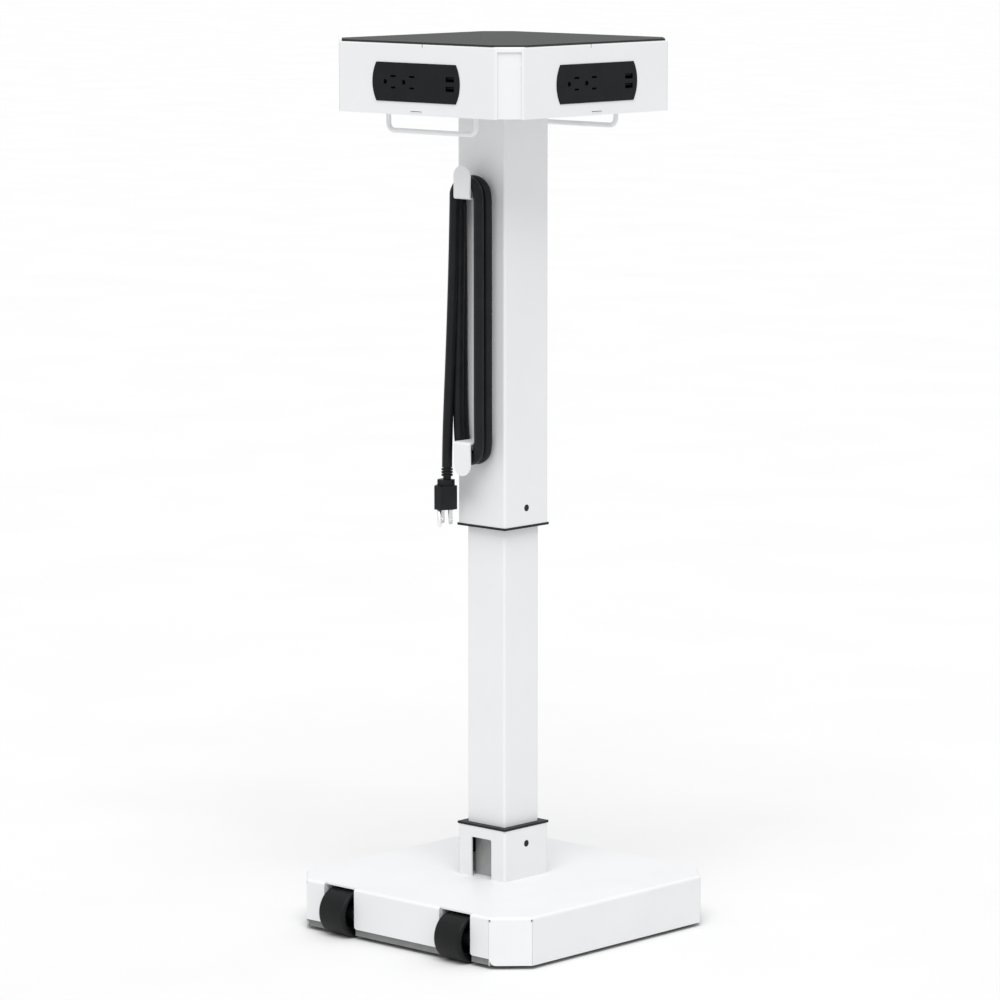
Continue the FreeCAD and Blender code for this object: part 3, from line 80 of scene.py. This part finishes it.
def make_camera():
    """A long lens without shift or roll, pointed straight at the target."""
    camera = bpy.data.objects.new("Camera", bpy.data.cameras.new("Camera"))
    scene.collection.objects.link(camera)
    camera.data.sensor_width = SENSOR_WIDTH
    camera.data.lens = CAMERA_LENS
    camera.data.clip_end = FAR_CLIP
    back = Vector((
        math.sin(CAMERA_AZIMUTH) * math.cos(CAMERA_ELEVATION),
        -math.cos(CAMERA_AZIMUTH) * math.cos(CAMERA_ELEVATION),
        math.sin(CAMERA_ELEVATION),
    ))
    camera.location = CAMERA_TARGET + back * CAMERA_DISTANCE
    camera.rotation_euler = (math.pi / 2 - CAMERA_ELEVATION, 0, CAMERA_AZIMUTH)
    scene.camera = camera


make_camera()

# ---------------------------------------------------------------- cord

CORD_RADIUS = 0.0059

# The bends of the wound cord: their radius, and the heights of their centres.
FOLD_RADIUS = 0.0186
LOOP_BOTTOM = 0.5662
LOOP_TOP = 0.8463
FOLD_CORNERS = 5

# Depths of the strands, from rear to front: y from the column's axis, negative at the front.
EXIT_FOLD = -0.0434
REAR = -0.0468
MIDDLE = -0.0513
FRONT = -0.0602

# Heights of the points along a strand, and how far the left one sags outwards at each.
RISING = (0.589, 0.664, 0.748, 0.824)
FALLING = RISING[::-1]
LEFT_SLACK = (0.0, 0.0010, 0.0026, 0.0032)

# Where the cord comes out of its gland, the run down from it, and the free end down to the plug.
GLAND_MOUTH = (-0.025, -0.0426, 0.838)
EXIT_RUN = [
    (-0.0250, -0.0426, 0.822),
    (-0.0240, -0.0428, 0.780),
    (-0.0234, -0.0430, 0.720),
    (-0.0234, -0.0430, 0.650),
    (-0.0224, -0.0430, 0.595),
]
CORD_TAIL_ROUTE = [
    (-0.0186, -0.0602, 0.8462),
    (-0.0198, -0.0602, 0.8000),
    (-0.0219, -0.0602, 0.7400),
    (-0.0252, -0.0602, 0.6700),
    (-0.0292, -0.0602, 0.6000),
    (-0.0309, -0.0602, 0.5600),
    (-0.0312, -0.0602, 0.5370),
]


def fold(centre, first_degrees, first_depth, last_depth):
    """Half a turn about one of the bracket's arms, anticlockwise as seen from the front."""
    step = 180 / FOLD_CORNERS
    reach = FOLD_RADIUS / math.cos(math.radians(step / 2))
    for corner in range(FOLD_CORNERS):
        share = (corner + 0.5) / FOLD_CORNERS
        angle = math.radians(first_degrees + 180 * share)
        depth = first_depth + (last_depth - first_depth) * share
        yield reach * math.cos(angle), depth, centre + reach * math.sin(angle)


def right_strand(depth):
    """Straight up the right side of the bracket."""
    for height in RISING:
        yield FOLD_RADIUS, depth, height


def left_strand(depth):
    """Down the left side of the bracket, with a little slack."""
    for height, slack in zip(FALLING, LEFT_SLACK):
        yield -FOLD_RADIUS - slack, depth, height


def coil_route():
    """Down from the gland, then two turns about both arms, each in front of the one before."""
    yield GLAND_MOUTH
    yield from EXIT_RUN
    yield from fold(LOOP_BOTTOM, 180, EXIT_FOLD, REAR)
    yield from right_strand(REAR)
    yield from fold(LOOP_TOP, 0, REAR, MIDDLE)
    yield from left_strand(MIDDLE)
    yield from fold(LOOP_BOTTOM, 180, MIDDLE, FRONT)
    yield from right_strand(FRONT)
    yield from fold(LOOP_TOP, 0, FRONT, FRONT)


def smooth_curve(name, points):
    """One open NURBS spline with the points as its control points."""
    curve = bpy.data.curves.new(name, "CURVE")
    curve.dimensions = "3D"
    spline = curve.splines.new("NURBS")
    spline.points.add(len(points) - 1)
    for target, point in zip(spline.points, points):
        target.co = (*point, 1)
    spline.order_u = 3
    spline.use_endpoint_u = True
    spline.resolution_u = 10
    piece = bpy.data.objects.new(name, curve)
    scene.collection.objects.link(piece)
    return piece


def make_cord():
    """The whole supply cord, from the gland's mouth to the plug's relief."""
    route = [on_axis(*point) for point in (*coil_route(), *CORD_TAIL_ROUTE)]
    cord = smooth_curve("power_cord", route)
    cord.data.bevel_depth = CORD_RADIUS
    cord.data.bevel_resolution = 7
    cord.data.use_fill_caps = True
    return cord


power_cord = make_cord()

# ---------------------------------------------------------------- material building blocks


class Look:
    """A material being built from nodes, with places in metres as the space of its textures."""

    def __init__(self, name):
        self.material = bpy.data.materials.new(name)
        self.material.use_nodes = True
        self.tree = self.material.node_tree
        self.shader = self.tree.nodes["Principled BSDF"]
        self.place = self.node("ShaderNodeNewGeometry").outputs["Position"]

    def node(self, kind):
        """Add a node of that kind."""
        return self.tree.nodes.new(kind)

    def link(self, source, target):
        """Feed one socket into another."""
        self.tree.links.new(source, target)

    def set(self, **values):
        """Set constants directly on the shader's sockets; underscores stand for spaces."""
        for name, value in values.items():
            self.shader.inputs[name.replace("_", " ")].default_value = value

    def noise(self, size, detail=2.0, roughness=0.5):
        """Noise whose features are about size metres across."""
        texture = self.node("ShaderNodeTexNoise")
        texture.inputs["Scale"].default_value = 1 / size
        texture.inputs["Detail"].default_value = detail
        texture.inputs["Roughness"].default_value = roughness
        self.link(self.place, texture.inputs["Vector"])
        return texture.outputs["Fac"]

    def colour(self, value, *stops):
        """Colour the surface by a ramp with two (position, colour) stops."""
        ramp = self.node("ShaderNodeValToRGB")
        for element, (position, colour) in zip(ramp.color_ramp.elements, stops):
            element.position = position
            element.color = (*colour, 1)
        self.link(value, ramp.inputs["Fac"])
        self.link(ramp.outputs["Color"], self.shader.inputs["Base Color"])

    def roughness(self, value, low, high):
        """Spread the middle of a texture's values over the roughness from low to high."""
        spread = self.node("ShaderNodeMapRange")
        self.link(value, spread.inputs["Value"])
        for name, number in (("From Min", 0.3), ("From Max", 0.7), ("To Min", low), ("To Max", high)):
            spread.inputs[name].default_value = number
        self.link(spread.outputs["Result"], self.shader.inputs["Roughness"])

    def bump(self, *layers):
        """Stack bumps given as (height, depth in metres)."""
        normal = None
        for height, depth in layers:
            bump = self.node("ShaderNodeBump")
            bump.inputs["Distance"].default_value = depth
            self.link(height, bump.inputs["Height"])
            if normal is not None:
                self.link(normal, bump.inputs["Normal"])
            normal = bump.outputs["Normal"]
        self.link(normal, self.shader.inputs["Normal"])


def grey(level, tint=0.0):
    """A grey of that level, a little blue for a positive tint."""
    return (level - tint, level, level + tint)


# ---------------------------------------------------------------- materials


def powder_coat(name, level):
    """Satin powder coat: fine orange peel over a faint change of tone."""
    look = Look(name)
    change = 0.010
    grain = 0.0009
    depth = 0.000012
    cloud = look.noise(0.09, 3)
    look.colour(cloud, (0.35, grey(level - change, 0.009)), (0.65, grey(level + change, 0.008)))
    peel = look.noise(grain, 2)
    look.roughness(peel, 0.42, 0.52)
    look.set(Specular_IOR_Level=0.4)
    look.bump((peel, depth), (look.noise(grain * 4, 2), depth * 1.5))
    return look.material


def moulded_plastic(name, level, roughness=(0.42, 0.55), grain=0.0005, depth=0.00001, shine=0.22):
    """Moulded plastic with a fine spark-eroded texture."""
    look = Look(name)
    cloud = look.noise(0.02, 3)
    look.colour(cloud, (0.35, grey(level * 0.85, 0.0008)), (0.65, grey(level * 1.2, 0.0012)))
    spark = look.noise(grain, 3, 0.6)
    look.roughness(spark, *roughness)
    look.set(Specular_IOR_Level=shine)
    look.bump((spark, depth))
    return look.material


def rubber(name, level):
    """Satin rubber with slightly paler patches."""
    look = Look(name)
    patches = look.noise(0.012, 4, 0.6)
    look.colour(patches, (0.35, grey(level)), (0.7, grey(level * 1.4, 0.001)))
    pore = look.noise(0.0007, 3)
    look.roughness(pore, 0.42, 0.54)
    look.set(Specular_IOR_Level=0.2)
    look.bump((pore, 0.00002))
    return look.material


def metal(name, level, roughness):
    """Plated metal with a fine grain."""
    look = Look(name)
    grain = look.noise(0.0006, 3, 0.6)
    look.colour(grain, (0.3, grey(level * 0.9)), (0.7, grey(level * 1.06)))
    look.set(Metallic=1.0)
    look.roughness(grain, *roughness)
    look.bump((grain, 0.000006))
    return look.material


def brass(name):
    """Stamped brass for the contacts."""
    look = Look(name)
    grain = look.noise(0.0008, 3)
    look.colour(grain, (0.3, (0.62, 0.45, 0.2)), (0.7, (0.78, 0.6, 0.3)))
    look.set(Metallic=1.0)
    look.roughness(grain, 0.25, 0.4)
    return look.material


def painted_steel(name, level):
    """Plain primed steel with a slightly uneven coat."""
    look = Look(name)
    cloud = look.noise(0.03, 4)
    look.colour(cloud, (0.35, grey(level * 0.9)), (0.65, grey(level * 1.1, 0.002)))
    peel = look.noise(0.0012, 2)
    look.roughness(peel, 0.45, 0.6)
    look.bump((peel, 0.000015))
    return look.material


LOOKS = {
    "white_powder_coat": powder_coat("white_powder_coat", 0.745),
    "hook_coat": powder_coat("hook_coat", 0.79),
    "dark_steel": painted_steel("dark_steel", 0.19),
    "grey_steel": painted_steel("grey_steel", 0.33),
    "zinc_steel": metal("zinc_steel", 0.62, roughness=(0.28, 0.42)),
    "black_nylon": moulded_plastic("black_nylon", 0.011),
    "tyre_rubber": rubber("tyre_rubber", 0.005),
    "foot_rubber": rubber("foot_rubber", 0.02),
    "black_lid": moulded_plastic("black_lid", 0.012, roughness=(0.5, 0.6), grain=0.0008,
                                 depth=0.000015, shine=0.4),
    "grey_plastic": moulded_plastic("grey_plastic", 0.3),
    "cord_jacket": moulded_plastic("cord_jacket", 0.0085, roughness=(0.36, 0.46), grain=0.0006,
                                   shine=0.19),
    "prong_metal": metal("prong_metal", 0.93, roughness=(0.36, 0.48)),
    "module_black": moulded_plastic("module_black", 0.005, roughness=(0.5, 0.6), grain=0.0006,
                                    shine=0.18),
    "contact_brass": brass("contact_brass"),
    "usb_black": moulded_plastic("usb_black", 0.002, shine=0.08),
}


def dress(piece, slot):
    """Give a piece the look of one of the record's material slots."""
    piece.data.materials.clear()
    piece.data.materials.append(LOOKS[slot])


for part in frame["record"]["subparts"]:
    dress(frame["nodes"][part["node"]], part["material_slot"])

# ---------------------------------------------------------------- floor and lights

FLOOR_HALF = 60
WORLD_STRENGTH = 0.78
SUN_SPREAD = math.radians(45)


def make_floor():
    """A plain pale floor that reaches past the horizon of the picture."""
    half = FLOOR_HALF
    mesh = bpy.data.meshes.new("floor")
    mesh.from_pydata([(-half, -half, 0), (half, -half, 0), (half, half, 0), (-half, half, 0)], [],
                     [(0, 1, 2, 3)])
    floor = bpy.data.objects.new("floor", mesh)
    scene.collection.objects.link(floor)
    look = Look("floor")
    look.colour(look.noise(0.3, 2), (0.3, grey(0.765)), (0.7, grey(0.785)))
    look.set(Roughness=0.9, Specular_IOR_Level=0.1)
    floor.data.materials.append(look.material)


def make_sun(name, azimuth, elevation, strength):
    """A broad soft light from far away; azimuth 0 is the front and 90 the right."""
    light = bpy.data.lights.new(name, "SUN")
    light.energy = strength
    light.angle = SUN_SPREAD
    lamp = bpy.data.objects.new(name, light)
    scene.collection.objects.link(lamp)
    lamp.rotation_euler = (math.radians(90 - elevation), 0, math.radians(azimuth))


def make_surroundings():
    """An even white sky and one soft key light from the front right."""
    world = bpy.data.worlds.new("studio")
    scene.world = world
    world.use_nodes = True
    background = world.node_tree.nodes["Background"]
    background.inputs["Color"].default_value = (1.0, 1.0, 1.0, 1)
    background.inputs["Strength"].default_value = WORLD_STRENGTH
    make_sun("key", azimuth=42, elevation=57, strength=1.92)


make_floor()
make_surroundings()
scene.view_settings.view_transform = "Standard"

# ---------------------------------------------------------------- pieces built here


def turned(name, profile, centre, axis, steps=96):
    """Turn a closed profile of (along, radius) points about an axis through a point."""
    mesh = bpy.data.meshes.new(name)
    shape = bmesh.new()
    rings = []
    for step in range(steps):
        angle = math.tau * step / steps
        ring = []
        for along, radius in profile:
            flat = Vector((radius * math.cos(angle), radius * math.sin(angle), along))
            ring.append(shape.verts.new(flat))
        rings.append(ring)
    count = len(profile)
    for first, second in zip(rings, rings[1:] + rings[:1]):
        for corner in range(count):
            following = (corner + 1) % count
            if profile[corner][1] == 0 and profile[following][1] == 0:
                continue
            shape.faces.new([first[corner], second[corner], second[following], first[following]])
    bmesh.ops.remove_doubles(shape, verts=shape.verts, dist=1e-7)
    bmesh.ops.recalc_face_normals(shape, faces=shape.faces)
    for face in shape.faces:
        face.smooth = True
    shape.transform(Vector((0, 0, 1)).rotation_difference(Vector(axis)).to_matrix().to_4x4())
    shape.transform(Matrix.Translation(centre))
    shape.to_mesh(mesh)
    shape.free()
    piece = bpy.data.objects.new(name, mesh)
    scene.collection.objects.link(piece)
    return piece


def settle(piece, body, slot, *nodes):
    """Dress a piece, set it on its body and let it stand for the CAD nodes."""
    dress(piece, slot)
    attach(piece, body)
    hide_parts(*nodes)


TYRE_SHOULDER = 0.0034
SHOULDER_STEPS = 8
SIDEWALL_HEIGHT = 0.0053
BEAD_INSET = 0.0004
BEAD_ROUND = 0.0005
TYRE_BORE_RADIUS = 0.0205
TYRE_BORE_HALF = 0.0130


def make_tyre(side):
    """Barrel tyre: flat tread, rolled shoulders and a lip round the hub."""
    node = f"wheel_{side}_tyre"
    low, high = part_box(node)
    half = (high.x - low.x) / 2
    radius = (high.z - low.z) / 2
    bead = radius - SIDEWALL_HEIGHT
    outline = [(-half + BEAD_INSET, bead), (-half, bead + BEAD_ROUND)]
    for step in range(SHOULDER_STEPS + 1):
        angle = math.radians(90 * step / SHOULDER_STEPS)
        outline.append((-half + TYRE_SHOULDER * (1 - math.cos(angle)),
                        radius - TYRE_SHOULDER * (1 - math.sin(angle))))
    outline += [(-along, height) for along, height in reversed(outline)]
    outline += [(TYRE_BORE_HALF, TYRE_BORE_RADIUS), (-TYRE_BORE_HALF, TYRE_BORE_RADIUS)]
    tyre = turned(f"{node}_rolled", outline, middle(node), (1, 0, 0))
    settle(tyre, f"wheel_{side}", "tyre_rubber", node)


for wheel_side in ("left", "right"):
    make_tyre(wheel_side)

PLUG_X = -0.0324
PLUG_Y = FRONT
PRONG_ROOT = 0.4895

BLADE_GAP = 0.0127
BLADE_HALF = 0.0031
BLADE_TIP = 0.4715
BLADE_CORNER = 0.0016
BLADE_HALF_THICKNESS = 0.00055
BLADE_EDGE = 0.0002
BLADE_HOLE_RADIUS = 0.0016
BLADE_HOLE_RISE = 0.0047

EARTH_Y = PLUG_Y - 0.0116
EARTH_TIP = 0.4690
EARTH_RADIUS = 0.0024

# The earth prong's rounded end, as (height above its tip, radius).
EARTH_END = ((0, 0), (0.0001, 0.0009), (0.0006, 0.0017), (0.0014, 0.0022), (0.0024, EARTH_RADIUS))

# Stands a flat outline up: what was drawn across runs front to back, and what was drawn up rises.
UPRIGHT = Matrix(((0, 0, 1, 0), (1, 0, 0, 0), (0, 1, 0, 0), (0, 0, 0, 1)))


def flat_outline(points, curve):
    """Add one closed straight-sided spline to a flat curve."""
    spline = curve.splines.new("POLY")
    spline.points.add(len(points) - 1)
    for target, (across, up) in zip(spline.points, points):
        target.co = (across, up, 0, 1)
    spline.use_cyclic_u = True


def arc_points(across, up, radius, first, last, steps=12):
    """Points of an arc between two angles in degrees."""
    for step in range(steps + 1):
        angle = math.radians(first + (last - first) * step / steps)
        yield across + radius * math.cos(angle), up + radius * math.sin(angle)


def make_blade(name, x):
    """A flat prong with rounded corners and a locking hole near its tip."""
    curve = bpy.data.curves.new(name, "CURVE")
    curve.dimensions = "2D"
    curve.fill_mode = "BOTH"
    curve.extrude = BLADE_HALF_THICKNESS
    curve.bevel_depth = BLADE_EDGE
    curve.bevel_resolution = 2
    corner = BLADE_CORNER
    half = BLADE_HALF - BLADE_EDGE
    tip = BLADE_TIP + BLADE_EDGE
    outline = [(half, PRONG_ROOT), (-half, PRONG_ROOT)]
    outline += arc_points(-half + corner, tip + corner, corner, 180, 270)
    outline += arc_points(half - corner, tip + corner, corner, 270, 360)
    flat_outline(outline, curve)
    flat_outline(list(arc_points(0, tip + BLADE_HOLE_RISE, BLADE_HOLE_RADIUS, 0, 345, 23)), curve)
    blade = bpy.data.objects.new(name, curve)
    scene.collection.objects.link(blade)
    blade.matrix_world = Matrix.Translation(on_axis(x, PLUG_Y, 0)) @ UPRIGHT
    return blade


def make_prongs():
    """The round earth prong and the two flat blades, in place of the plain prongs."""
    earth = [(EARTH_TIP + height, radius) for height, radius in EARTH_END]
    earth += [(PRONG_ROOT, EARTH_RADIUS), (PRONG_ROOT, 0)]
    earth_prong = turned("earth_prong", earth, on_axis(PLUG_X, EARTH_Y, 0), (0, 0, 1), 40)
    left = make_blade("blade_left", PLUG_X - BLADE_GAP / 2)
    right = make_blade("blade_right", PLUG_X + BLADE_GAP / 2)
    made = [earth_prong, left, right]
    for prong in made:
        settle(prong, "upper_column", "prong_metal", "plug_prongs")
    return made


prongs = make_prongs()

SOFT_EDGES = {"plug_body": 0.0006, "cable_gland": 0.0004, "cord_bracket": 0.0004}


def soften(node, width):
    """Round the sharp edges of a CAD node a little."""
    bevel = frame["nodes"][node].modifiers.new("soft_edges", "BEVEL")
    bevel.width = width
    bevel.segments = 2
    bevel.limit_method = "ANGLE"
    bevel.angle_limit = math.radians(35)


for soft_node, edge_width in SOFT_EDGES.items():
    soften(soft_node, edge_width)

# ---------------------------------------------------------------- riding and standing in for the CAD nodes

settle(power_cord, "upper_column", "cord_jacket", "cord_hank", "cord_tail")
